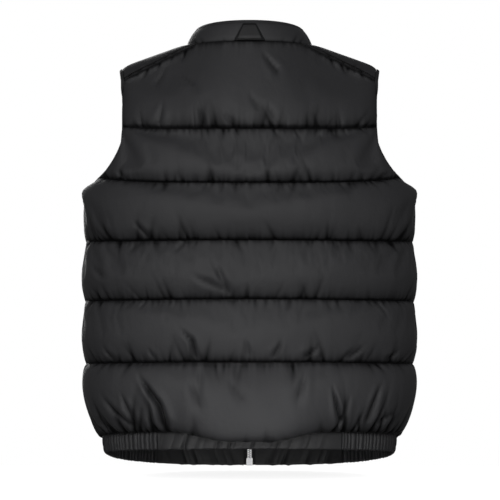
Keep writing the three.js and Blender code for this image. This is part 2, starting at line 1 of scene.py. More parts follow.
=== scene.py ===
import bpy
import numpy as np
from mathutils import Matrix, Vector


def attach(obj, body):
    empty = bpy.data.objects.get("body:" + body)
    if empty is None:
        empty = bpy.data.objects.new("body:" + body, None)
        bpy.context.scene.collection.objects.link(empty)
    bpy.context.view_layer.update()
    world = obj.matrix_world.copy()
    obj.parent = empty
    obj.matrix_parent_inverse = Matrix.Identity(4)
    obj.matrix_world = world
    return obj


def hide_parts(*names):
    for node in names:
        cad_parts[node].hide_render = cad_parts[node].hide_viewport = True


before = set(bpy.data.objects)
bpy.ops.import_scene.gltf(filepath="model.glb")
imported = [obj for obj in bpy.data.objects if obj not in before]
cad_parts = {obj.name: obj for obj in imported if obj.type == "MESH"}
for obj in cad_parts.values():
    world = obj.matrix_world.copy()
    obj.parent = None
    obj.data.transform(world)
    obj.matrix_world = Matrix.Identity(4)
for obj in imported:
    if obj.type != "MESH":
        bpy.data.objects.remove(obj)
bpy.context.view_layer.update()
mm = 0.001


# Sizes shared with the solids.
seamClear = 0.02  # between the panels' faces at the side seams
seamHalf = 1.2  # half the cloth's thickness where it is sewn through
neckSeam = 0.6  # how far outside and above the neck line the panels end
roundness = 2.3
zipGap = 9.5  # from the centre line to each front's edge
topSeam = 5  # the highest sewn line; the neck is level 6
armholeLevel = 3.6

# Columns: level, midY, midZ, edgeX, edgeY, edgeZ, turn in degrees.
backSections = np.array([
    (0, 114, -620, 233, 0, -611, 90),
    (1, 127, -512, 257, 0, -496, 90),
    (2, 128, -412, 259, 0, -396, 90),
    (3, 128, -318, 258, 0, -299, 90),
    (3.6, 128, -262, 257.5, 0, -221, 90),
    (3.8, 127, -243, 247, 26, -214, 84),
    (4, 126, -225, 235, 46, -205, 76),
    (4.35, 124, -195, 213, 64, -181, 66),
    (4.7, 120, -164, 202, 68, -152, 58),
    (5, 115, -138, 200, 61, -126, 54),
], float)
frontSections = np.array([
    (0, -114, -620, 233, 0, -611, 90),
    (1, -129, -512, 257, 0, -496, 90),
    (2, -133, -412, 259, 0, -396, 90),
    (3, -135, -318, 258, 0, -299, 90),
    (3.6, -134, -262, 257.5, 0, -221, 90),
    (3.8, -133, -243, 246, -25, -214, 84),
    (4, -132, -225, 231, -43, -206, 76),
    (4.35, -129, -195, 205, -60, -184, 66),
    (4.7, -125, -164, 188, -64, -156, 58),
    (5, -120, -138, 183, -57, -124, 54),
], float)
neckRing = dict(halfX=100, sideY=-6, backY=75, frontY=-88, backZ=11, sideZ=13, frontZ=-58)
collarTopRing = dict(halfX=84, sideY=-8, backY=64, frontY=-79, backZ=48, sideZ=45, frontZ=-15)
ringRoundness = 2.2
shoulderStart, shoulderEnd = 0.3, 0.55  # shares of the half neckline where the strips begin
shoulderOuter = np.array([(-1, 201, 28, -44), (0, 204, 0, -22), (1, 199, -25, -41)], float)
puff = dict(crown=19, hemCrown=29, sideSeam=3.5, hemSideSeam=6, inside=5, shape=0.48)
fadeReach = dict(side=95, armhole=34, zip=34)
hemSag = dict(back=40, front=26, starts=155, fades=125, zipFades=110)


# Small helpers.
def smooth(t):
    t = np.clip(t, 0, 1)
    return t * t * (3 - 2 * t)


def bell(t):
    return np.exp(-(t * t))


def unit(v):
    return v / np.maximum(np.linalg.norm(v, axis=-1, keepdims=True), 1e-12)


# Monotone cubic through the rows of a table.
def readTable(x, y, at):
    slope = np.diff(y) / np.diff(x)
    inner = slope[:-1] * slope[1:]
    tangent = np.concatenate([
        [slope[0]],
        np.where(inner > 0, 2 * inner / np.where(inner > 0, slope[:-1] + slope[1:], 1), 0),
        [slope[-1]],
    ])
    k = np.clip(np.searchsorted(x, at, side="right") - 1, 0, len(x) - 2)
    h = x[k + 1] - x[k]
    t = (at - x[k]) / h
    return (
        (2 * t**3 - 3 * t**2 + 1) * y[k] + (t**3 - 2 * t**2 + t) * h * tangent[k]
        + (3 * t**2 - 2 * t**3) * y[k + 1] + (t**3 - t**2) * h * tangent[k + 1]
    )


def runOf(points):
    return np.concatenate([[0], np.cumsum(np.linalg.norm(np.diff(points, axis=0), axis=1))])


# Points at the given shares of a polyline's length, and that length.
def alongLine(points, shares):
    run = runOf(points)
    at = np.clip(shares, 0, 1) * run[-1]
    return np.stack([np.interp(at, run, points[:, k]) for k in range(3)], axis=-1), run[-1]


# The seam surface.
def sectionLine(sections, level, startX):
    midY, midZ, edgeX, edgeY, edgeZ, turn = (
        readTable(sections[:, 0], sections[:, k], level) for k in range(1, 7))
    turn = np.radians(turn)
    power = 2 / roundness
    endCos = max(0, np.cos(turn)) ** power
    first = np.arcsin(np.sin(turn) * (startX / edgeX) ** (1 / power))
    angle = np.linspace(first, turn, 97)
    x = edgeX * (np.sin(angle) / np.sin(turn)) ** power
    back = (np.maximum(0, np.cos(angle)) ** power - endCos) / (1 - endCos)
    y = edgeY + (midY - edgeY) * back
    z = midZ + (edgeZ - midZ) * np.maximum(0, 1 - back) ** 1.3
    return np.stack([x, y, z], axis=1)


def ringLine(ring):
    power = 2 / ringRoundness
    last = np.pi - np.arcsin((zipGap / ring["halfX"]) ** (1 / power))
    angle = np.linspace(0, last, 129)
    depth = np.abs(np.cos(angle)) ** power
    back = angle < np.pi / 2
    farY = np.where(back, ring["backY"], ring["frontY"])
    farZ = np.where(back, ring["backZ"], ring["frontZ"])
    return np.stack([
        ring["halfX"] * np.sin(angle) ** power,
        ring["sideY"] + (farY - ring["sideY"]) * depth,
        ring["sideZ"] + (farZ - ring["sideZ"]) * depth**1.6,
    ], axis=1)


neckLine = ringLine(neckRing)
collarTopLine = ringLine(collarTopRing)


def neckOut(share):
    step = alongLine(neckLine, share + 0.01)[0] - alongLine(neckLine, share - 0.01)[0]
    out = np.stack([-step[..., 1], step[..., 0], 0 * step[..., 0]], axis=-1)
    return unit(out)


def neckPoint(share, out, lift):
    p = alongLine(neckLine, share)[0] + out * neckOut(np.clip(share, 0, 1))
    return p + np.array([0, 0, lift])


def shoulderOuterAt(side):
    return np.stack([readTable(shoulderOuter[:, 0], shoulderOuter[:, k], side) for k in (1, 2, 3)],
                    axis=-1)


def topLine(isBack):
    start, end = (0, shoulderStart) if isBack else (1, shoulderEnd)
    t = np.linspace(0, 1, 25)
    neckPart = neckPoint(start + (end - start) * t, neckSeam, neckSeam)
    corner = neckPoint(np.array([end], float), neckSeam, neckSeam)
    tip = shoulderOuterAt(np.array([-1.0 if isBack else 1.0]))
    return np.concatenate([neckPart, corner + (tip - corner) * t[1:, None]])


panelShapes = {
    "back": dict(sections=backSections, startX=0, top=topLine(True)),
    "front": dict(sections=frontSections, startX=zipGap, top=topLine(False)),
}


# The sewn surface on a grid [level][across], and each row's length.
def seamGrid(panel, levels, across):
    shape = panelShapes[panel]
    rows, lengths = [], []
    for level in levels:
        line = sectionLine(shape["sections"], min(level, topSeam), shape["startX"])
        row, length = alongLine(line, across)
        if level > topSeam:
            top, _ = alongLine(shape["top"], across)
            row = row + (top - row) * (level - topSeam)
        rows.append(row)
        lengths.append(length)
    return np.array(rows), np.array(lengths)[:, None]


def gridNormals(grid, panel):
    n = unit(np.cross(np.gradient(grid, axis=0), np.gradient(grid, axis=1)))
    facing = 1 if panel == "back" else -1
    flip = (n[..., 1] * facing + n[..., 0]) < 0
    return np.where(flip[..., None], -n, n)


# Meshes.
def newObject(name, data):
    obj = bpy.data.objects.new(name, data)
    bpy.context.scene.collection.objects.link(obj)
    return obj


def valuesOf(items, name, wide=3):
    values = np.zeros(len(items) * wide)
    items.foreach_get(name, values)
    return values.reshape(-1, wide)


def meshObject(name, points, faces):
    mesh = bpy.data.meshes.new(name)
    mesh.from_pydata((points * mm).tolist(), [], [tuple(f) for f in faces])
    mesh.validate()
    mesh.polygons.foreach_set("use_smooth", [True] * len(mesh.polygons))
    return newObject(name, mesh)


def gridFaces(rows, cols, start=0, flip=False):
    r, c = np.meshgrid(np.arange(rows - 1), np.arange(cols - 1), indexing="ij")
    a = (start + r * cols + c).ravel()
    quads = np.stack([a, a + 1, a + cols + 1, a + cols], axis=1)
    return quads[:, ::-1] if flip else quads


# Faces between a fine outer grid and an inner one with every so many of its points.
def closedWall(outer, inner, every):
    rows, cols = outer.shape[:2]
    innerRows, innerCols = inner.shape[:2]
    start = rows * cols
    faces = [*gridFaces(rows, cols), *gridFaces(innerRows, innerCols, start, True)]

    def rim(outerIds, innerIds, flip):
        for i in range(len(innerIds) - 1):
            run = outerIds[i * every:(i + 1) * every + 1]
            half = every // 2
            tris = [(run[j + 1], run[j], innerIds[i]) for j in range(half)]
            tris += [(run[j + 1], run[j], innerIds[i + 1]) for j in range(half, every)]
            tris.append((run[half], innerIds[i], innerIds[i + 1]))
            faces.extend(t[::-1] if flip else t for t in tris)

    grid = np.arange(rows * cols).reshape(rows, cols)
    back = start + np.arange(innerRows * innerCols).reshape(innerRows, innerCols)
    rim(grid[0], back[0], False)
    rim(grid[-1], back[-1], True)
    rim(grid[:, 0], back[:, 0], True)
    rim(grid[:, -1], back[:, -1], False)
    return np.concatenate([outer.reshape(-1, 3), inner.reshape(-1, 3)]), faces


# Turns the faces round if most of them look away from the side that they should.
def facingOut(obj, away):
    polygons = obj.data.polygons
    normal, centre = valuesOf(polygons, "normal"), valuesOf(polygons, "center")
    score = (away(centre) * normal).sum(1) if callable(away) else normal @ np.array(away)
    if (score * valuesOf(polygons, "area", 1)[:, 0]).sum() < 0:
        obj.data.flip_normals()


# Turns a closed mesh's faces outward.
def outOfVolume(obj):
    mesh = obj.data
    mesh.calc_loop_triangles()
    t = np.zeros(len(mesh.loop_triangles) * 3, np.int32)
    mesh.loop_triangles.foreach_get("vertices", t)
    a, b, c = valuesOf(mesh.vertices, "co")[t.reshape(-1, 3)].transpose(1, 0, 2)
    if (a * np.cross(b, c)).sum() < 0:
        mesh.flip_normals()
    return obj


# Materials.
def setInputs(node, values):
    for name, value in values.items():
        node.inputs[name].default_value = value


def newMaterial(name, colour, roughness, metallic=0.0):
    mat = bpy.data.materials.new(name)
    mat.use_nodes = True
    shader = mat.node_tree.nodes["Principled BSDF"]
    setInputs(shader, {"Base Color": (*colour, 1), "Roughness": roughness, "Metallic": metallic})
    return mat, shader


# Painted shade: where the mask is 1 the colour falls to foldShade of itself and the specular level
# from gloss to foldGloss; toneSpread is the random spread of roughness.
gloss, foldGloss, foldShade, toneSpread = 0.34, 0.04, 0.12, 0.06


def nylon(name, colour, roughness, sheen, crumple, weave=0.00005):
    mat, shader = newMaterial(name, colour, roughness)
    tree = mat.node_tree
    make, link = tree.nodes.new, tree.links.new
    setInputs(shader, {"Sheen Weight": sheen, "Sheen Roughness": 0.45})
    place = make("ShaderNodeTexCoord")

    def noise(scale, detail, stretch):
        spread, n = make("ShaderNodeMapping"), make("ShaderNodeTexNoise")
        setInputs(spread, {"Scale": stretch})
        setInputs(n, {"Scale": scale, "Detail": detail, "Roughness": 0.55})
        link(place.outputs["Object"], spread.inputs["Vector"])
        link(spread.outputs["Vector"], n.inputs["Vector"])
        return n.outputs["Fac"]

    def bump(height, distance, before=None):
        b = make("ShaderNodeBump")
        setInputs(b, {"Strength": 1.0, "Distance": distance})
        link(height, b.inputs["Height"])
        if before is not None:
            link(before, b.inputs["Normal"])
        return b.outputs["Normal"]

    soft = bump(noise(38, 3, (1.0, 1.0, 0.6)), crumple * 2.2)
    fine = bump(noise(150, 4, (1.0, 1.0, 0.8)), crumple * 0.35, soft)
    grain = bump(noise(2600, 1, (1, 1, 1)), weave, fine)
    link(grain, shader.inputs["Normal"])
    # Painted shade: the fold mask darkens the base colour and dulls the specular in seams, creases
    # and edges.
    shadeAttribute, darker, duller = (make(f"ShaderNode{kind}") for kind in ("Attribute", "Mix", "MapRange"))
    shadeAttribute.attribute_name = "painted_fold_shade"
    darker.data_type = "RGBA"
    setInputs(darker, {"A": (*colour, 1), "B": (*[foldShade * c for c in colour], 1)})
    link(shadeAttribute.outputs["Fac"], darker.inputs["Factor"])
    link(darker.outputs["Result"], shader.inputs["Base Color"])
    setInputs(duller, {"To Min": gloss, "To Max": foldGloss})
    link(shadeAttribute.outputs["Fac"], duller.inputs["Value"])
    link(duller.outputs["Result"], shader.inputs["Specular IOR Level"])
    tone = make("ShaderNodeMapRange")
    setInputs(tone, {"To Min": roughness - toneSpread, "To Max": roughness + toneSpread})
    link(noise(9, 3, (1, 1, 1)), tone.inputs["Value"])
    link(tone.outputs["Result"], shader.inputs["Roughness"])
    return mat


shellCloth = nylon("shell_nylon", (0.024, 0.024, 0.026), 0.6, 0.03, 0.0005)
trimCloth = nylon("trim_nylon", (0.013, 0.013, 0.014), 0.55, 0.03, 0.0004)
elasticCloth = nylon("elastic_nylon", (0.016, 0.016, 0.0175), 0.52, 0.03, 0.0004)
tapeCloth = nylon("zip_tape_weave", (0.012, 0.012, 0.013), 0.8, 0.05, 0.0001, 0.0002)
threadCloth = newMaterial("thread", (0.011, 0.011, 0.012), 0.7)[0]
silver = newMaterial("zip_silver", (0.78, 0.78, 0.79), 0.36, 0.85)[0]


# Paints shade into the cloth: a mask from 0 to 1 of where its seams, folds and edges lie in shade;
# the material darkens its colour and dulls its gloss there.
def paintFoldShade(obj, depth):
    values = np.zeros(len(obj.data.vertices))
    values[:depth.size] = np.clip(depth, 0, 1).ravel()
    layer = obj.data.attributes.new("painted_fold_shade", "FLOAT", "POINT")
    layer.data.foreach_set("value", values)


def dress(obj, material, body="vest", replaces=()):
    obj.data.materials.clear()
    obj.data.materials.append(material)
    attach(obj, body)
    if replaces:
        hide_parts(*replaces)
    return obj


# Padded panels.
# Doubles a grid along one axis with a cubic B-spline, keeping the sharp rows where they are.
def refine(grid, axis, sharp):
    g = np.moveaxis(grid, axis, 0)
    n = len(g)
    even = g.copy()
    even[1:-1] = (g[:-2] + 6 * g[1:-1] + g[2:]) / 8
    for s in sharp:
        even[s] = g[s]
    odd = (g[:-1] + g[1:]) / 2
    out = np.empty((2 * n - 1, *g.shape[1:]))
    out[0::2] = even
    out[1::2] = odd
    inside = np.arange(1, n - 2)
    cubic = (-g[inside - 1] + 9 * g[inside] + 9 * g[inside + 1] - g[inside + 2]) / 16
    clear = [k for k, i in enumerate(inside) if i not in sharp and i + 1 not in sharp]
    out[2 * inside[clear] + 1] = 0.5 * odd[inside[clear]] + 0.5 * cubic[clear]
    return np.moveaxis(out, 0, axis)


blown = dict(start=0.8, frames=22, pressure=3.0, limit=12, wider=1.03, taller=1.02, droop=3)
clothSettings = dict(
    quality=6, mass=0.12, tension_stiffness=25, compression_stiffness=25, shear_stiffness=6,
    bending_stiffness=0.06, air_damping=2, vertex_group_mass="sewn", use_pressure=True)
rowsPerChannel = 14
crowding = 0.8  # how far the rows gather towards each sewn line
yokeSmoothing = 40
channelTall, endChannelTall = 100, 130  # about, where puckers need a height


def channelLevels(top):
    t = np.linspace(0, 1, rowsPerChannel + 1)
    share = (1 - crowding) * t + crowding * (1 - np.cos(np.pi * t)) / 2
    return np.concatenate([k + share[:-1] for k in range(top)] + [[top]])


def pillow(distance, reach):
    return np.sqrt(1 - (1 - np.clip(distance / reach, 0, 1)) ** 2)


# How far the outer face stands off the sewn surface, on the grid.
def puffHeights(panel, levels, across, lengths):
    level = levels[:, None]
    share = np.where(level >= 6, 1, level - np.floor(level))
    lowest = level < 1
    full = np.where(lowest, puff["hemCrown"], puff["crown"])
    side = np.where(lowest, puff["hemSideSeam"], puff["sideSeam"])
    reach = np.where(level < armholeLevel, fadeReach["side"], fadeReach["armhole"])
    crown = side + (full - side) * pillow((1 - across) * lengths, reach)
    if panel == "front":
        crown = crown * (0.04 + 0.96 * pillow(across * lengths, fadeReach["zip"]))
    swell = np.sin(np.pi * share**0.9) ** puff["shape"]
    return crown * swell, swell, share


def sagOf(panel, x, share, lowest):
    centred = smooth((hemSag["starts"] - x) / hemSag["fades"])
    nearZip = smooth((x - zipGap) / hemSag["zipFades"]) if panel == "front" else 1
    return lowest * hemSag[panel] * centred * nearZip * np.sin(np.pi * share**0.65)


# Lets a sheet of cloth blow out between its sewn lines, and gives its points.
def simulatePuff(name, start, rest, pinned, pressure):
    rows, cols = start.shape[:2]
    obj = meshObject(name, start.reshape(-1, 3), gridFaces(rows, cols))
    obj.shape_key_add(name="Basis")
    key = obj.shape_key_add(name="cut")
    key.data.foreach_set("co", (rest.reshape(-1, 3) * mm).ravel())
    key.value = 0
    group = obj.vertex_groups.new(name="sewn")
    group.add(np.flatnonzero(pinned.ravel()).tolist(), 1.0, "REPLACE")
    cloth = obj.modifiers.new("cloth", "CLOTH")
    for label, value in clothSettings.items():
        setattr(cloth.settings, label, value)
    cloth.settings.rest_shape_key = key
    cloth.settings.uniform_pressure_force = pressure
    cloth.settings.effector_weights.gravity = 0.2
    cloth.collision_settings.use_collision = False
    cloth.collision_settings.use_self_collision = False
    cloth.point_cache.frame_start = 1
    cloth.point_cache.frame_end = blown["frames"]
    scene = bpy.context.scene
    for f in range(1, blown["frames"] + 1):
        scene.frame_set(f)
    shown = obj.evaluated_get(bpy.context.evaluated_depsgraph_get())
    blownOut = valuesOf(shown.data.vertices, "co").reshape(start.shape) / mm
    scene.frame_set(1)
    bpy.data.meshes.remove(obj.data)
    moved = blownOut - start
    far = np.linalg.norm(moved, axis=-1, keepdims=True)
    print(name, "cloth moved up to", round(float(far.max()), 1), "mm")
    return start + moved * np.minimum(1, blown["limit"] / np.maximum(far, 1e-6))


# Main creases: depth, width, and the path from one point, through others, to the sewn line;
# across and up in mm.
backCreases = [
    (13, 7, [(182, -522), (142, -581), (134, -612)]),
    (6, 6, [(204, -558), (182, -608)]),
    (6, 6, [(241, -553), (214, -586), (182, -613)]),
    (4, 4, [(244, -590), (226, -612)]),
    (4, 11, [(97, -535), (79, -583)]),
    (3, 9, [(76, -518), (79, -560)]),
    (3.5, 12, [(38, -536), (7, -578)]),
    (9, 5, [(-129, -549), (-143, -606)]),
    (7, 6, [(-214, -537), (-204, -554), (-185, -603)]),
    (5, 5, [(-238, -580), (-201, -605)]),
    (4, 9, [(-90, -526), (-76, -571)]),
    (6.5, 6, [(116, -457), (90, -480), (84, -507)]),
    (3, 4, [(161, -490), (150, -505)]),
    (5, 5, [(234, -481), (214, -506)]),
    (3, 4, [(177, -428), (162, -412)]),
    (3, 7, [(7, -476), (1, -503)]),
    (5, 6, [(-54, -478), (-38, -506)]),
    (5, 6, [(-114, -487), (-87, -506)]),
    (5, 6, [(-185, -482), (-156, -505)]),
    (5, 5, [(-241, -484), (-217, -505)]),
    (3, 4, [(-222, -438), (-204, -414)]),
    (4, 9, [(58, -352), (31, -407)]),
    (4, 9, [(100, -372), (41, -400)]),
    (4, 6, [(257, -341), (233, -370)]),
    (5, 6, [(186, -284), (159, -314)]),
    (5, 5, [(214, -193), (199, -217)]),
    (3, 4, [(230, -210), (218, -222)]),
    (5, 5, [(-226, -197), (-204, -218)]),
    (3, 9, [(118, -33), (86, -65)]),
    (3, 7, [(132, -24), (150, -58)]),
    (3.5, 7, [(137, -91), (145, -127)]),
    (5, 6, [(82, -94), (73, -131)]),
    (4.5, 6, [(46, -107), (25, -134)]),
    (5, 7, [(-18, -6), (-46, -42)]),
    (3, 8, [(4, -77), (-15, -103)]),
    (3, 7, [(-26, -98), (-42, -121)]),
]
frontCreases = [
    (10, 7, [(150, -524), (168, -600)]),
    (5, 8, [(96, -540), (78, -596)]),
    (6, 6, [(214, -548), (196, -604)]),
    (4, 8, [(44, -530), (28, -580)]),
    (6, 7, [(120, -458), (98, -504)]),
    (5, 5, [(208, -470), (190, -500)]),
    (4, 8, [(70, -372), (44, -406)]),
    (5, 6, [(172, -372), (150, -402)]),
    (5, 6, [(132, -276), (112, -312)]),
    (5, 6, [(226, -262), (206, -300)]),
    (5, 5, [(190, -186), (170, -214)]),
    (4, 7, [(96, -92), (80, -130)]),
    (3, 8, [(128, -52), (140, -92)]),
]


# How far each point is from a crease, and how far along the crease it lies.
def pathDistance(x, z, path):
    path = np.array(path, float)
    lengths = np.linalg.norm(np.diff(path, axis=0), axis=1)
    best, along, run = np.full(x.shape, 1e9), np.zeros(x.shape), 0.0
    for (ax, az), (bx, bz), length in zip(path[:-1], path[1:], lengths):
        dx, dz = (bx - ax) / length, (bz - az) / length
        t = np.clip((x - ax) * dx + (z - az) * dz, 0, length)
        off = np.hypot(x - ax - t * dx, z - az - t * dz)
        near = off < best
        best = np.where(near, off, best)
        along = np.where(near, run + t, along)
        run += length
    return best, along / run


def creaseHeights(x, z, creases):
    total = np.zeros(x.shape)
    for depth, width, path in creases:
        off, along = pathDistance(x, z, path)
        w = 0.46 * width * (0.6 + 0.8 * along)
        fade = smooth(along * 1.8 + 0.02) * smooth((1 - along) * 6 + 0.5)
        trough = np.exp(-((off / w) ** 1.5))
        ridge = 0.3 * bell((off - 2.6 * w) / (1.6 * w))
        total += depth * fade * (ridge - trough)
    return total


# Short uneven puckers that run into each sewn line, longer above it than below.
def gatherHeights(arc, level, lengths, seed):
    g = np.random.default_rng(seed)
    total = np.zeros(arc.shape)
    across = arc / lengths
    for seam in range(7):
        for above in (True, False):
            if (above and seam == 6) or (not above and seam == 0):
                continue
            band = (level >= seam) & (level < seam + 1) if above else \
                (level > seam - 1) & (level <= seam)
            height = channelTall if seam < topSeam else endChannelTall
            rise = (level - seam) * height if above else (seam - level) * height
            spot = -360.0
            while spot < 360:
                spot += g.uniform(3, 19)
                size = g.uniform(0, 1) ** 1.8
                long = (5 + 30 * size) * (1.0 if above else 0.6)
                deep = (0.6 + 1.7 * size) * (1.0 if above else 0.8)
                if seam == 6:
                    deep *= 0.35 if abs(spot) < 92 else 2.3
                wide = g.uniform(1.5, 2.4) + 1.6 * size
                lean = np.sign(spot) * np.clip(abs(spot) / 260, 0, 1) * g.uniform(0.1, 0.9)
                lean += g.uniform(-0.55, 0.55)
                centre = spot + lean * rise + g.uniform(-0.1, 0.1) * rise
                off = (arc - centre) / (wide * (1 + 0.6 * rise / long))
                fade = bell(rise / long) * smooth(rise / 3 + 0.15)
                total -= band * deep * fade * np.exp(-np.abs(off) ** 1.3)
    edge = smooth((1 - np.abs(across)) * lengths / 8)
    return total * edge


# Long deep gathers that the hem elastic draws in, leaning outwards as they climb.
def elasticGathers(arc, level, seed):
    g = np.random.default_rng(seed)
    total = np.zeros(arc.shape)
    rise = level * endChannelTall
    for sign in (-1, 1):
        spot = 118.0
        while spot < 300:
            spot += g.uniform(7, 17)
            long, deep = g.uniform(20, 62), g.uniform(1.8, 4.6)
            lean = g.uniform(-0.15, 0.55) if spot < 190 else g.uniform(0.1, 0.6)
            wide = g.uniform(1.5, 3.2) * (1 + 0.4 * rise / long)
            off = (sign * arc - spot - lean * rise) / wide
            fade = bell(rise / long) * smooth(rise / 4 + 0.2)
            total -= (level < 1) * deep * fade * (np.exp(-np.abs(off) ** 1.3)
                                                  - 0.25 * bell(np.abs(off) - 2.6))
    return total


# How unevenly the painted shade of each sewn line reaches into the puffs beside it.
def raggedness(arc, channel, seed):
    total = np.zeros(arc.shape)
    for c in range(6):
        g = np.random.default_rng(seed * 10 + c)
        at = np.arange(-400, 401, 4.0)
        total += (channel == c) * np.interp(arc, at, g.uniform(0.25, 1.5, len(at)))
    return np.maximum(total, 0.3)


# The finished outer face and inner face of one padded panel, in mm.
def panelGrid(panel, sign, cols, seed, creases, simulate):
    levels = channelLevels(6)
    whole = panel == "back"
    signed = np.linspace(-1, 1, cols) if whole else np.linspace(0, 1, cols)
    across = np.abs(signed)
    seam, lengths = seamGrid(panel, levels, across)
    if whole:
        seam[:, signed < 0, 0] *= -1
    elif sign < 0:
        seam[..., 0] *= -1
    side = np.sign(signed) if whole else np.full(cols, float(sign))
    flipped = seam.copy()
    flipped[..., 0] *= np.where(side == 0, 1, side)[None, :]
    normal = gridNormals(flipped, panel)
    if whole:
        normal[:, signed == 0, 0] = 0
        normal = unit(normal)
    normal[..., 0] *= np.where(side == 0, 1, side)[None, :]
    heights, swell, share = puffHeights(panel, levels, across[None, :], lengths)
    lowest = (levels < 1)[:, None]
    sag = sagOf(panel, np.abs(seam[..., 0]), share, lowest)
    level = levels[:, None] + 0 * across[None, :]
    onSideSeam = (across > 0.999)[None, :] & (level <= armholeLevel + 1e-6)

    def offset(amount):
        p = seam + normal * amount[..., None]
        p[..., 1] = np.where(onSideSeam, seamClear if whole else -seamClear, p[..., 1])
        return p

    target = offset(seamHalf + heights)
    target[..., 2] -= sag
    outer = target.copy()
    if simulate:
        start = offset(seamHalf + blown["start"] * heights)
        start[..., 2] -= sag
        rest = cutShape(target)
        pinned = np.zeros(heights.shape)
        pinned[::rowsPerChannel] = 1
        pinned[:, [0, -1]] = 1
        facing = np.cross(np.gradient(start, axis=1), np.gradient(start, axis=0))
        outward = np.sign((facing * normal).sum())  # pressure follows the faces' winding
        outer = simulatePuff(f"{panel}_cloth", start, rest, pinned, blown["pressure"] * outward)
        lifted = np.maximum(outer[..., 2], target[..., 2] - blown["droop"])
        outer[..., 2] = np.where(lowest, lifted, outer[..., 2])
    yoke = np.flatnonzero((levels > 5.05) & (levels < 5.97))  # the top channel is smoothed across
    for _ in range(yokeSmoothing):
        block = outer[yoke]
        outer[yoke, 1:-1] = (block[:, :-2] + 2 * block[:, 1:-1] + block[:, 2:]) / 4
    inner = offset(-seamHalf - puff["inside"] * swell * (heights > 2))

    sharp = list(range(0, 6 * rowsPerChannel + 1, rowsPerChannel))
    fine = refine(refine(outer, 0, sharp), 1, [0, cols - 1])
    fineLevels = np.interp(np.arange(12 * rowsPerChannel + 1) / 2, np.arange(len(levels)), levels)
    fineSigned = np.linspace(signed[0], signed[-1], 2 * cols - 1)
    fineNormal = unit(np.cross(np.gradient(fine, axis=0), np.gradient(fine, axis=1)))
    agree = np.where((fineNormal * refine(refine(normal, 0, sharp), 1, [])).sum(-1) < 0, -1, 1)
    fineNormal = fineNormal * agree[..., None]
    share = fineLevels % 1
    fineSwell = np.where(fineLevels >= 6, 0, np.sin(np.pi * share) ** 0.3)[:, None]
    fineLengths = np.interp(fineLevels, levels, lengths[:, 0])[:, None]
    arc = fineSigned[None, :] * fineLengths
    marks = 0.9 * creaseHeights(fine[..., 0], fine[..., 2], creases) * np.maximum(fineSwell, 0.25)
    creased = np.clip(-marks - 1, 0, 4)
    edge = smooth((1 - np.abs(fineSigned))[None, :] * fineLengths / 12)
    if panel == "front":
        edge = edge * smooth(np.abs(fineSigned)[None, :] * fineLengths / 12)
    level = fineLevels[:, None] + 0 * arc
    signedArc = arc * (1 if whole else sign)
    gathers = gatherHeights(signedArc, level, fineLengths, seed)
    gathers += elasticGathers(signedArc, level, seed + 50)
    fine = fine + fineNormal * ((marks + gathers) * edge)[..., None]
    # Painted shade: dark bands above and below each sewn line, in the gathers and creases, and
    # along the side seams.
    above, below = (level % 1) * channelTall, (1 - level % 1) * channelTall
    ragged = raggedness(signedArc, np.floor(level), seed)
    paintedShade = (np.exp(-above / (6 * ragged)) + np.exp(-below / (3 * ragged))
             + edge * (0.36 * np.clip(-gathers - 0.3, 0, 2.2) + 0.17 * creased))
    paintedShade = paintedShade + 0.4 * np.exp(-((1 - np.abs(fineSigned))[None, :] * fineLengths / 8) ** 1.3)
    return fine, inner, paintedShade


# The flat cut of a panel: as wide at every row as its channel's crown, as tall as its puffs.
def cutShape(target):
    across = np.linalg.norm(np.diff(target, axis=1), axis=-1)
    up = np.linalg.norm(np.diff(target, axis=0), axis=-1)
    rows = len(target)
    widest = across.copy()
    for c in range(rows // rowsPerChannel):
        block = slice(c * rowsPerChannel, (c + 1) * rowsPerChannel + 1)
        widest[block] = np.maximum(widest[block], across[block].max(axis=0))
    x = np.concatenate([np.zeros((rows, 1)), np.cumsum(widest * blown["wider"], axis=1)], axis=1)
    x -= x.mean(axis=1, keepdims=True)
    z = np.concatenate([np.zeros((1, target.shape[1])), np.cumsum(up * blown["taller"], axis=0)])
    return np.stack([x, np.zeros_like(x), z], axis=-1)


def makePanel(name, node, panel, sign, cols, seed, creases):
    fine, inner, paintedShade = panelGrid(panel, sign, cols, seed, creases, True)
    every = 4  # the outer face's points to one of the inner's
    points, faces = closedWall(fine, inner[::2, ::2], every)
    obj = outOfVolume(meshObject(name, points, faces))
    paintFoldShade(obj, paintedShade)
    dress(obj, shellCloth, replaces=[node])
    print(name, len(faces), "faces")


makePanel("back_panel_padded", "back_panel", "back", 1, 177, 11, backCreases)
makePanel("front_left_padded", "front_left", "front", 1, 89, 12, frontCreases)
makePanel("front_right_padded", "front_right", "front", -1, 89, 13,
    [(depth, width, [(-x + 9, z + 4) for x, z in path]) for depth, width, path in frontCreases])


# Shoulder strips.
def orient(grid, sign):
    return grid * np.array([sign, 1, 1])


# Closed wall between two grids with the same number of points.
def wallOf(outer, inner):
    rows, cols = outer.shape[:2]
    start = rows * cols
    faces = [*gridFaces(rows, cols), *gridFaces(rows, cols, start, True)]
    grid = np.arange(start).reshape(rows, cols)
    border = np.concatenate([grid[0, :-1], grid[:-1, -1], grid[-1, :0:-1], grid[:0:-1, 0]])
    after = np.roll(border, -1)
    faces += list(np.stack([after, border, border + start, after + start], axis=1))
    return np.concatenate([outer.reshape(-1, 3), inner.reshape(-1, 3)]), faces


strip = dict(neckClear=1.0, over=1.04, pad=4.5, stitchIn=6.4, grooveDepth=2.2, grooveWidth=1.7)


def shoulderPoint(along, over):
    share = shoulderStart + (shoulderEnd - shoulderStart) * (over + 1) / 2
    near = neckPoint(share, strip["neckClear"], neckSeam)
    return near + (shoulderOuterAt(over) - near) * along[..., None]


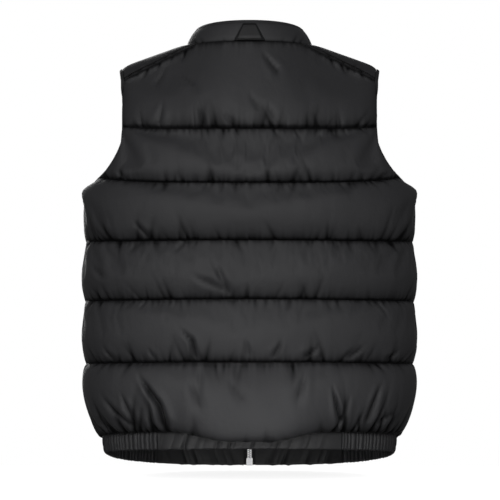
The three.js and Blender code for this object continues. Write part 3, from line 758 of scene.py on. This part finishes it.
def shoulderGrid(alongCount, overCount):
    along, over = np.meshgrid(np.linspace(0.004, 0.996, alongCount),
                              np.linspace(-1, 1, overCount), indexing="ij")
    p = shoulderPoint(along, over * strip["over"])
    n = unit(np.cross(np.gradient(p, axis=0), np.gradient(p, axis=1)))
    return p, np.where(n[..., 2:] < 0, -n, n), along, over


def makeShoulder(name, node, sign, seed):
    g = np.random.default_rng(seed)
    p, n, along, over = shoulderGrid(121, 61)
    steps = np.linalg.norm(np.diff(p, axis=1), axis=-1)
    run = np.concatenate([np.zeros((len(p), 1)), np.cumsum(steps, axis=1)], axis=1)
    fromEdge = np.minimum(run, run[:, -1:] - run)
    pad = strip["pad"] * np.sqrt(np.clip(1 - over**4, 0, 1)) * (1 - (2 * along - 1) ** 8)
    offStitch = (fromEdge - strip["stitchIn"]) / strip["grooveWidth"]
    groove = strip["grooveDepth"] * np.exp(-offStitch ** 2)
    puckers = np.zeros(along.shape)
    for _ in range(46):
        at, long, wide = g.uniform(0.02, 0.98), g.uniform(5, 13), g.uniform(1.6, 3.2)
        side = g.choice([-1, 1])
        near = np.where(over * side > 0, fromEdge, 99)
        off = (along - at) * 118 + g.uniform(-0.4, 0.4) * near
        puckers += (g.uniform(0.3, 0.9) * bell(off / wide)
                    * bell(near / long))
    puckers = puckers * smooth(fromEdge / 3)
    outer = p + n * (seamHalf + pad - groove - puckers)[..., None]
    inner = p - n * (seamHalf + 0.3 * pad)[..., None]
    points, faces = wallOf(orient(outer, sign), orient(inner, sign))
    obj = outOfVolume(meshObject(name, points, faces))
    # Colour darker throughout the strip, with painted shade in its stitch groove and puckers and
    # along its edges.
    paintFoldShade(obj, 0.28 + 0.4 * groove + 0.4 * puckers + 0.7 * np.exp(-fromEdge / 1.5))
    dress(obj, shellCloth, replaces=[node])
    lines = []
    for row in (outer, outer[:, ::-1]):
        at = np.argmin(np.abs(np.where(over[:, :31] < 0.1, fromEdge[:, :31], 99)
                              - strip["stitchIn"]), axis=1)
        lines.append(orient(row[np.arange(len(row)), at], sign))
    return lines


shoulderStitches = [
    *makeShoulder("shoulder_left_padded", "shoulder_left", 1, 21),
    *makeShoulder("shoulder_right_padded", "shoulder_right", -1, 22),
]


# Collar and its tab.
collar = dict(baseHalf=1.5, padHalf=3.3, topHalf=2.2, swell=1.5)
collarHeight, collarStitchIn = 36, 5
tab = dict(topHalf=11.5, baseHalf=25, top=0.83, base=0.03, thick=1.4, stand=3.2, clear=0.4)


def collarLine(share, up):
    low, high = alongLine(neckLine, share)[0], alongLine(collarTopLine, share)[0]
    p = low + (high - low) * up[..., None]
    return p + neckOut(share) * (collar["swell"] * np.sin(np.pi * up))[..., None]


def collarHalf(up):
    low = collar["baseHalf"] + (collar["padHalf"] - collar["baseHalf"]) * smooth(up * 4)
    high = collar["padHalf"] + (collar["topHalf"] - collar["padHalf"]) * smooth((up - 0.6) * 2.5)
    return np.where(up < 0.5, low, high)


# Small tucks at the foot of the collar: where across it, how long and how deep.
collarTucks = [(84, 14, 1.5), (74, 9, 1.0), (-70, 12, 1.3), (-80, 10, 1.2), (-52, 6, 0.6),
               (40, 6, 0.6), (96, 9, 0.9), (-97, 9, 0.9), (12, 5, 0.4)]


def makeCollar():
    shares = np.linspace(-1, 1, 321)
    ups = np.concatenate([np.linspace(0, 0.9, 22), np.linspace(0.93, 1, 5)])
    up, share = np.meshgrid(ups, np.abs(shares), indexing="ij")
    p = collarLine(share, up)
    out = neckOut(share)
    turned = np.sqrt(np.clip(1 - ((up - 0.9) / 0.105) ** 2, 0.05, 1))
    half = collarHalf(up) * np.where(up > 0.9, turned, 1)
    flip = np.where(shares < 0, -1, 1)[None, :]
    sideX = p[..., 0] * flip
    height = up * collarHeight
    dents = np.zeros(up.shape)
    near = p[..., 1] > -10
    for x, long, deep in collarTucks:
        off = (sideX - x) - 0.25 * np.sign(x) * height
        dents += (near * 1.5 * deep * np.exp(-np.abs(off / 2.2) ** 1.4)
                  * bell(height / long))
    groove = 0.5 * np.exp(-(((1 - up) * collarHeight - collarStitchIn) / 0.9) ** 2)
    outer = p + out * (half - dents * smooth(up * 20) - groove)[..., None]
    inner = p - out * half[..., None]
    outer[..., 0] *= flip
    inner[..., 0] *= flip
    points, faces = wallOf(outer, inner)
    obj = outOfVolume(meshObject("collar_padded", points, faces))
    # Painted shade in the collar's tucks and stitch groove and along its foot and top edge.
    paintFoldShade(obj, 0.4 * dents + 0.7 * groove + 0.9 * bell(height / 2.2)
              + 0.7 * bell((collarHeight - height) / 2.4))
    dress(obj, shellCloth, replaces=["collar"])
    row = np.argmin(np.abs((1 - ups) * collarHeight - collarStitchIn))
    return outer[row]


def makeTab():
    ups, shares = np.linspace(0, 1, 25), np.linspace(-1, 1, 41)
    up, t = np.meshgrid(ups, shares, indexing="ij")
    x = t * (tab["baseHalf"] + (tab["topHalf"] - tab["baseHalf"]) * up)
    rise = tab["base"] + (tab["top"] - tab["base"]) * up
    _, neckLength = alongLine(neckLine, np.array([0.0]))
    share = np.abs(x) / neckLength
    lift = tab["stand"] * (1 - up) ** 2 * (1 - t**4)
    wave = 0.4 * np.sin(t * 5 + 1) * (1 - up)
    back = collarLine(share, rise) + neckOut(share) * (
        collarHalf(rise) + tab["clear"] + lift + wave * (lift > 0.4))[..., None]
    back[..., 0] *= np.where(x < 0, -1, 1)
    edge = np.minimum((1 - np.abs(t)) * 16, np.minimum(up, 1 - up) * 28)
    rim = 0.35 * bell((edge - 2.2) / 0.8)
    thick = tab["thick"] * np.sqrt(np.clip(edge / 1.2, 0.15, 1)) - rim
    front = back + np.array([0, 1, 0]) * thick[..., None]
    points, faces = wallOf(front, back)
    obj = outOfVolume(meshObject("collar_tab_cloth", points, faces))
    # Painted shade along the groove of the tab's rim and at its edges.
    paintFoldShade(obj, 2.4 * rim + 0.9 * bell(edge / 0.9))
    dress(obj, trimCloth, replaces=["collar_tab"])


collarStitch = makeCollar()
makeTab()


# Armhole bindings.
binding = dict(wide=6.2, thick=6.4, gap=-0.9)


def armholeLoop(stations):
    climb = np.linspace(armholeLevel, 6, 60)[1:]
    one = np.array([1.0])
    back = np.array([seamGrid("back", [v], one)[0][0, 0] for v in climb])
    front = np.array([seamGrid("front", [v], one)[0][0, 0] for v in climb])[::-1]
    over = shoulderOuterAt(np.linspace(-1, 1, 9)[1:-1])
    bottom = seamGrid("back", [armholeLevel], one)[0][0]
    ring = np.concatenate([bottom, back, over, front, bottom])
    points, length = alongLine(ring, np.linspace(0, 1, stations + 1))
    return points[:-1], length


def makeBinding(hand, sign, seed):
    g = np.random.default_rng(seed)
    p, length = armholeLoop(300)
    for _ in range(2):
        p = (np.roll(p, 1, 0) + 2 * p + np.roll(p, -1, 0)) / 4
    tangent = unit(np.roll(p, -1, 0) - np.roll(p, 1, 0))
    middle = np.array([190, 0, -120.0])
    inward = middle - p
    inward[:, 0] *= 0.15
    overShoulder = smooth((p[:, 2:] + 80) / 36)
    inward = unit(inward) * (1 - overShoulder) + np.array([0.86, 0, -0.5]) * overShoulder
    inward = unit(inward - (inward * tangent).sum(1, keepdims=True) * tangent)
    face = np.cross(tangent, inward)
    face *= np.sign((face * (p - np.array([0, 0, -150.0]))).sum(1, keepdims=True))
    face = unit(face)
    turn = np.linspace(-1, 1, 15)
    half, wide = binding["thick"] / 2, binding["wide"]
    ripple = np.zeros(len(p))
    at = np.arange(len(p)) / len(p) * length
    for _ in range(60):
        off = (at - g.uniform(0, length) + length / 2) % length - length / 2
        ripple += g.uniform(-0.35, 0.35) * bell(off / g.uniform(2, 5))
    rings = []
    for t in turn:
        a = t * np.pi / 2
        reach = wide * np.clip(np.cos(a), 0, 1) ** 0.45
        rings.append(p + inward * (binding["gap"] + reach)
                     + face * (half * np.sign(t) * np.abs(np.sin(a)) ** 0.8
                               + (ripple * np.sin(a))[:, None]))
    grid = np.array(rings)
    grid = np.concatenate([grid, grid[:, :1]], axis=1)
    obj = meshObject(f"armhole_binding_{hand}_cloth", orient(grid, sign).reshape(-1, 3),
                     gridFaces(*grid.shape[:2]))
    centreLine = orient(p - inward * 2, sign)
    facingOut(obj, lambda c: c / mm - centreLine[
        np.argmin(((c[:, None] / mm - centreLine[None]) ** 2).sum(-1), axis=1)])
    dress(obj, trimCloth, replaces=[f"armhole_binding_{hand}"])
    print(obj.name, round(length), "mm round")


makeBinding("left", 1, 31)
makeBinding("right", -1, 32)


# Hem.
band = dict(height=27, top=0.05, half=2.2, inward=2.2, tuck=2, elasticBack=145, elasticFront=150,
            gathered=1.35, ease=1.03)


# The sewn line of the hem, from the centre back (0) over the side (1) to the zip (2).
def hemLine(rounds):
    backRow = seamGrid("back", [0], np.clip(rounds, 0, 1))[0][0]
    frontRow = seamGrid("front", [0], np.clip(2 - rounds, 0, 1))[0][0]
    return np.where((rounds <= 1)[:, None], backRow, frontRow)


def roundAt(isBack, x):
    shares = np.linspace(0, 1, 800)
    row = seamGrid("back" if isBack else "front", [0], shares)[0][0]
    at = np.interp(x, row[:, 0], shares)
    return at if isBack else 2 - at


# A folded band: down the outside, round its lower edge and up the inside.
def makeBand(name, node, start, end, cols, sign, material, ribs, seed):
    g = np.random.default_rng(seed)
    rounds = np.linspace(start, end, cols)
    base = hemLine(np.abs(rounds))
    base[:, 0] *= np.where(rounds * sign < 0, -1, 1)
    step = np.gradient(base, axis=0)
    out = unit(np.stack([step[:, 1], -step[:, 0], 0 * step[:, 0]], axis=1))
    out *= np.sign((out * base).sum(1, keepdims=True))
    run = runOf(base)
    length = run[-1]
    rib, tilt = np.zeros(cols), np.zeros(cols)
    if ribs:
        edges = np.cumsum(g.uniform(4.2, 9.0, int(length / 5)))
        edges = edges[edges < length - 3]
        knots = np.concatenate([[0], edges, [length]])
        k = np.clip(np.searchsorted(knots, run, side="right") - 1, 0, len(knots) - 2)
        inRib = (run - knots[k]) / (knots[k + 1] - knots[k])
        deep = g.uniform(2.2, 3.6, len(knots))[k]
        rib = deep * (np.sin(np.pi * inRib) ** 0.6 - 0.6)
        tilt = g.uniform(-1, 1, len(knots))[k]
    else:
        for _ in range(int(length / 5)):
            off = (run - g.uniform(0, length)) / g.uniform(1.6, 4.5)
            rib += g.uniform(-1.1, 0.5) * np.exp(-np.abs(off) ** 1.4)
    round0 = np.linspace(0, 1, 9)
    down = np.concatenate([np.linspace(0, 1, 15)[:-1], 1 + 0 * round0, np.linspace(1, 0, 15)[1:]])
    side = np.concatenate([np.ones(14), np.cos(np.pi * round0), -np.ones(14)])
    under = np.concatenate([np.zeros(14), np.sin(np.pi * round0), np.zeros(14)])
    rows, paintedShade = [], []
    for d, s, u in zip(down, side, under):
        drop = band["top"] + (band["height"] + 0.75 - band["half"]) * d + band["half"] * u
        shape = (1 - 0.55 * bell((d - 0.1) / 0.1)
                 - 0.35 * bell((d - 0.78) / 0.07))
        wave = rib * shape if ribs else np.interp(run - 9 * d, run, rib) * (0.3 + 0.7 * d)
        swell = (0.9 if ribs else 0.3) * np.sin(np.pi * d)
        thick = band["half"] * s + np.sign(s) * (wave + swell) * abs(s)
        p = base + out * (thick - band["inward"] - band["tuck"] * d)[..., None]
        p[:, 2] -= drop
        p[:, 2] += (0.35 * wave if ribs else 0.6 * rib) * u + tilt * 0.3 * u
        rows.append(p)
        # Painted shade in the bands' rib valleys and creases and along the top of their outer
        # face.
        paintedShade.append((0.3 if ribs else 0.2) * np.clip(-wave - 0.1, 0, 3)
                     + 0.7 * (s > 0) * bell(d / 0.09))
    grid = np.array(rows)
    obj = meshObject(name, grid.reshape(-1, 3), gridFaces(*grid.shape[:2]))
    paintFoldShade(obj, np.array(paintedShade))
    mid = base - out * (band["inward"] + 1)
    mid[:, 2] -= band["height"] / 2

    def away(c):
        near = np.argmin(((c[:, None, :2] / mm - mid[None, :, :2]) ** 2).sum(-1), axis=1)
        return c / mm - mid[near]

    facingOut(obj, away)
    dress(obj, material, replaces=[node])
    sewnTo = [] if node == "hem_band_back" else [
        "front_left_padded" if sign > 0 else "front_right_padded"]
    if start < 1:
        sewnTo.append("back_panel_padded")
    print(name, "length", round(length), "mm")


backEnd, frontEnd = roundAt(True, band["elasticBack"]), roundAt(False, band["elasticFront"])
makeBand("hem_back_cloth", "hem_band_back", -backEnd + 0.001, backEnd - 0.001, 321, 1,
         trimCloth, False, 41)
for side, sign, seed in (("left", 1, 42), ("right", -1, 44)):
    makeBand(f"hem_elastic_{side}_cloth", f"hem_elastic_{side}", backEnd + 0.001,
             frontEnd - 0.001, 561, sign, elasticCloth, True, seed)
    makeBand(f"hem_front_{side}_cloth", f"hem_band_front_{side}", frontEnd + 0.001, 2,
             181, sign, trimCloth, False, seed + 1)


# Zip, teeth and stitches.
hemEndZ = frontSections[0, 2] - 0.8 - band["height"]
zipPoints = np.array(sorted(
    [(hemEndZ, frontSections[0, 1] + band["inward"] + band["tuck"])]
    + [(row[2], row[1]) for row in frontSections]
    + [(ring["frontZ"], ring["frontY"]) for ring in (neckRing, collarTopRing)]))
zipTopZ = collarTopRing["frontZ"] - 3
boxTopZ = hemEndZ + 11
sliderZ = -27


def zipLine(fromZ, toZ, count, x=0.0, out=0.0):
    z = np.linspace(fromZ, toZ, count)
    y = readTable(zipPoints[:, 0], zipPoints[:, 1], z)
    slope = (readTable(zipPoints[:, 0], zipPoints[:, 1], z + 1)
             - readTable(zipPoints[:, 0], zipPoints[:, 1], z - 1)) / 2
    away = unit(np.stack([0 * z, -1 + 0 * z, slope], axis=1))
    return np.stack([x + 0 * z, y, z], axis=1) + out * away, away


def makeTape(name, node, sign):
    inner, showing, outer, tuckedIn = 3.2, 8.6, 12.6, 3.0
    xs = np.concatenate([[inner, inner + 0.5], np.linspace(inner + 1, showing, 5),
                         np.linspace(showing, outer, 4)[1:]])
    rows, away = zipLine(hemEndZ + 0.5, zipTopZ, 420)
    grid = np.repeat(rows[:, None], len(xs), axis=1)
    grid[..., 0] = xs
    bead = 0.5 * bell((xs - inner - 0.3) / 0.5)
    grid = grid + away[:, None] * bead[None, :, None]
    behind = tuckedIn * np.clip((xs - showing) / (outer - showing), 0, 1)
    grid = grid - away[:, None] * behind[None, :, None]
    obj = meshObject(name, orient(grid, sign).reshape(-1, 3), gridFaces(*grid.shape[:2]))
    facingOut(obj, (0, -1, 0))
    dress(obj, tapeCloth, replaces=[node])


# Sets copies of a small piece along a line, every so far, turned to follow it.
def placingNodes():
    group = bpy.data.node_groups.new("set_along_line", "GeometryNodeTree")
    face = group.interface
    face.new_socket("Line", in_out="INPUT", socket_type="NodeSocketGeometry")
    ids = {}
    for label, kind, value in (("Piece", "NodeSocketObject", None),
                               ("Spacing", "NodeSocketFloat", 0.003),
                               ("Side Step", "NodeSocketFloat", 0.0),
                               ("Size", "NodeSocketFloat", 1.0),
                               ("Material", "NodeSocketMaterial", None)):
        socket = face.new_socket(label, in_out="INPUT", socket_type=kind)
        if value is not None:
            socket.default_value = value
        ids[label] = socket.identifier
    face.new_socket("Geometry", in_out="OUTPUT", socket_type="NodeSocketGeometry")
    kinds = dict(
        given="NodeGroupInput", result="NodeGroupOutput", curve="GeometryNodeMeshToCurve",
        points="GeometryNodeCurveToPoints", turn="FunctionNodeAlignRotationToVector",
        piece="GeometryNodeObjectInfo", copies="GeometryNodeInstanceOnPoints",
        index="GeometryNodeInputIndex", odd="ShaderNodeMath", side="ShaderNodeMath",
        step="ShaderNodeMath", shift="ShaderNodeCombineXYZ",
        move="GeometryNodeTranslateInstances", real="GeometryNodeRealizeInstances",
        paint="GeometryNodeSetMaterial")
    nodes = {label: group.nodes.new(kind) for label, kind in kinds.items()}
    nodes["points"].mode = "LENGTH"
    nodes["turn"].axis, nodes["turn"].pivot_axis = "Z", "X"
    # Every other copy steps to the other side: 2 * (index mod 2) - 1, times the side step.
    nodes["odd"].operation, nodes["side"].operation = "MODULO", "MULTIPLY_ADD"
    nodes["step"].operation = "MULTIPLY"
    nodes["odd"].inputs[1].default_value = nodes["side"].inputs[1].default_value = 2
    nodes["side"].inputs[2].default_value = -1
    for source, output, target, entry in (
            ("given", "Line", "curve", "Mesh"), ("curve", "Curve", "points", "Curve"),
            ("given", "Spacing", "points", "Length"), ("points", "Tangent", "turn", "Vector"),
            ("given", "Piece", "piece", "Object"), ("points", "Points", "copies", "Points"),
            ("piece", "Geometry", "copies", "Instance"),
            ("turn", "Rotation", "copies", "Rotation"), ("given", "Size", "copies", "Scale"),
            ("index", 0, "odd", 0), ("odd", 0, "side", 0), ("side", 0, "step", 0),
            ("given", "Side Step", "step", 1), ("step", 0, "shift", "X"),
            ("copies", "Instances", "move", "Instances"), ("shift", 0, "move", "Translation"),
            ("move", "Instances", "real", "Geometry"), ("real", "Geometry", "paint", "Geometry"),
            ("given", "Material", "paint", "Material"),
            ("paint", "Geometry", "result", "Geometry")):
        group.links.new(nodes[source].outputs[output], nodes[target].inputs[entry])
    return group, ids


setAlong, setAlongIds = placingNodes()


def rowOfPieces(name, lines, piece, spacing, sideStep, material, replaces=()):
    points = np.concatenate(lines) * mm
    edges, start = [], 0
    for line in lines:
        edges += [(start + i, start + i + 1) for i in range(len(line) - 1)]
        start += len(line)
    mesh = bpy.data.meshes.new(name)
    mesh.from_pydata(points.tolist(), edges, [])
    obj = newObject(name, mesh)
    mod = obj.modifiers.new("row", "NODES")
    mod.node_group = setAlong
    for label, value in (("Piece", piece), ("Spacing", spacing * mm), ("Side Step", sideStep * mm),
                         ("Size", 1.0), ("Material", material)):
        mod[setAlongIds[label]] = value
    made = bpy.data.meshes.new_from_object(
        obj.evaluated_get(bpy.context.evaluated_depsgraph_get()))
    obj.modifiers.clear()
    obj.data = made
    made.name = name
    print(name, len(made.polygons), "faces")
    return dress(obj, material, replaces=replaces)


# A little block from an outline in its X and Y, with a chamfered edge, along its Z.
def smallPiece(name, outline, depth):
    outline = np.array(outline, float)
    rings = [(0.78, -0.5), (1.0, -0.32), (1.0, 0.32), (0.78, 0.5)]
    centre = outline.mean(axis=0)
    points, n = [], len(outline)
    for scale, z in rings:
        ring = centre + (outline - centre) * scale
        points += [(x, y, z * depth) for x, y in ring]
    faces = [tuple(range(n))[::-1], tuple(range(3 * n, 4 * n))]
    for k in range(3):
        faces += [(k * n + i, k * n + (i + 1) % n, (k + 1) * n + (i + 1) % n, (k + 1) * n + i)
                  for i in range(n)]
    obj = outOfVolume(meshObject(name, np.array(points), faces))
    obj.data.polygons.foreach_set("use_smooth", [False] * len(obj.data.polygons))
    return obj


toothPitch = 1.75
tooth = smallPiece("tooth", [(-2.5, -1.3), (1.6, -1.3), (2.5, -0.7), (2.5, 0.7), (1.6, 1.3),
                             (-2.5, 1.3)], 1.5)
stitch = smallPiece("stitch", [(0.32 * np.cos(a), 0.32 * np.sin(a))
                               for a in np.linspace(0, 2 * np.pi, 7)[:-1]], 2.1)
teethTop = sliderZ + 7 - 4 - 0.6
rowOfPieces("zip_teeth_metal", [zipLine(boxTopZ + 0.9, teethTop, 400)[0]], tooth, toothPitch, 1.6,
            silver, replaces=["zip_teeth"])
makeTape("zip_tape_left_cloth", "zip_tape_left", 1)
makeTape("zip_tape_right_cloth", "zip_tape_right", -1)
rowOfPieces("shoulder_stitches", [line + np.array([0, 0, 0.15]) for line in shoulderStitches],
            stitch, 3.2, 0, threadCloth)
rowOfPieces("collar_stitches", [collarStitch], stitch, 3.2, 0, threadCloth)
for extra in (tooth, stitch):
    bpy.data.objects.remove(extra)

for node in ("zip_box", "zip_slider", "zip_pull"):
    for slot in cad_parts[node].material_slots:
        slot.material = silver


# Camera, light and floor.
def turnTo(obj, direction):
    obj.rotation_mode = "QUATERNION"
    obj.rotation_quaternion = direction.to_track_quat("-Z", "Y")


def lookFrom(azimuth, elevation, distance, target, lens):
    a, e = np.radians(azimuth), np.radians(elevation)
    back = Vector((np.sin(a) * np.cos(e), -np.cos(a) * np.cos(e), np.sin(e)))
    data = bpy.data.cameras.new("camera")
    data.lens = lens
    data.sensor_width = 36
    data.clip_end = 60
    cam = newObject("camera", data)
    cam.location = Vector(target) + back * distance
    turnTo(cam, -back)
    bpy.context.scene.camera = cam


# The frame is 0.8 m wide at the vest.
elevation = -9
frameWide = 0.8
distance = 8.0
middleUp = -0.3104  # the frame's middle, measured square to the view
slope = np.radians(elevation)
target = (-0.0008, 0.0, middleUp / np.cos(slope))
lookFrom(180, elevation, distance, target, 36 * distance / frameWide)


def areaLight(name, place, aim, size, power, spread=180):
    data = bpy.data.lights.new(name, "AREA")
    data.energy = power
    data.shape = "SQUARE"
    data.size = size
    data.spread = np.radians(spread)
    light = newObject(name, data)
    light.location = place
    turnTo(light, Vector(aim) - Vector(place))


middle = (0, 0, -0.3)
areaLight("key", (0.3, 2.85, 0.75), middle, 2.2, 56)
areaLight("side_left", (2.5, 2.0, 0.0), middle, 1.2, 9)
areaLight("side_right", (-2.5, 2.0, 0.0), middle, 1.2, 9)
areaLight("under_hem", (0.0, 1.3, -1.0), (0, -0.11, -0.66), 0.3, 0.35, 26)
areaLight("front_key", (0.5, -2.8, 1.0), middle, 2.0, 62)


def studioWorld(seen, ambient):
    world = bpy.data.worlds.new("studio")
    bpy.context.scene.world = world
    world.use_nodes = True
    tree = world.node_tree
    make, link = tree.nodes.new, tree.links.new
    light, wall = tree.nodes["Background"], make("ShaderNodeBackground")
    for background, strength in ((light, ambient), (wall, seen)):
        setInputs(background, {"Color": (1, 1, 1, 1), "Strength": strength})
    rays, mix = make("ShaderNodeLightPath"), make("ShaderNodeMixShader")
    link(rays.outputs["Is Camera Ray"], mix.inputs[0])
    link(light.outputs[0], mix.inputs[1])
    link(wall.outputs[0], mix.inputs[2])
    link(mix.outputs[0], tree.nodes["World Output"].inputs["Surface"])


studioWorld(1.0, 0.1)


# A pale sheet that lies flat under the front and slopes down behind the back.
def paperFloor(nearY, ridgeY, farY, height, fall, halfWide):
    y = np.array([nearY, ridgeY, farY])
    z = height - np.clip(y - ridgeY, 0, None) * np.tan(fall)
    x = np.array([-halfWide, halfWide])
    grid = np.stack(np.meshgrid(x, y, indexing="ij") + [np.tile(z, (2, 1))], axis=-1)
    obj = meshObject("paper_floor", grid.reshape(-1, 3), gridFaces(2, 3))
    facingOut(obj, (0, 0, 1))
    obj.data.polygons.foreach_set("use_smooth", [False] * len(obj.data.polygons))
    paper, shader = newMaterial("paper", (0.86, 0.86, 0.86), 0.9)
    setInputs(shader, {"Specular IOR Level": 0.1, "Emission Color": (1, 1, 1, 1),
                       "Emission Strength": 0.85})
    obj.data.materials.append(paper)
    obj.visible_diffuse = obj.visible_glossy = False


paperFloor(-4000, -150, 5000, -645.5, np.radians(13), 3500)

bpy.context.scene.view_settings.view_transform = "Standard"
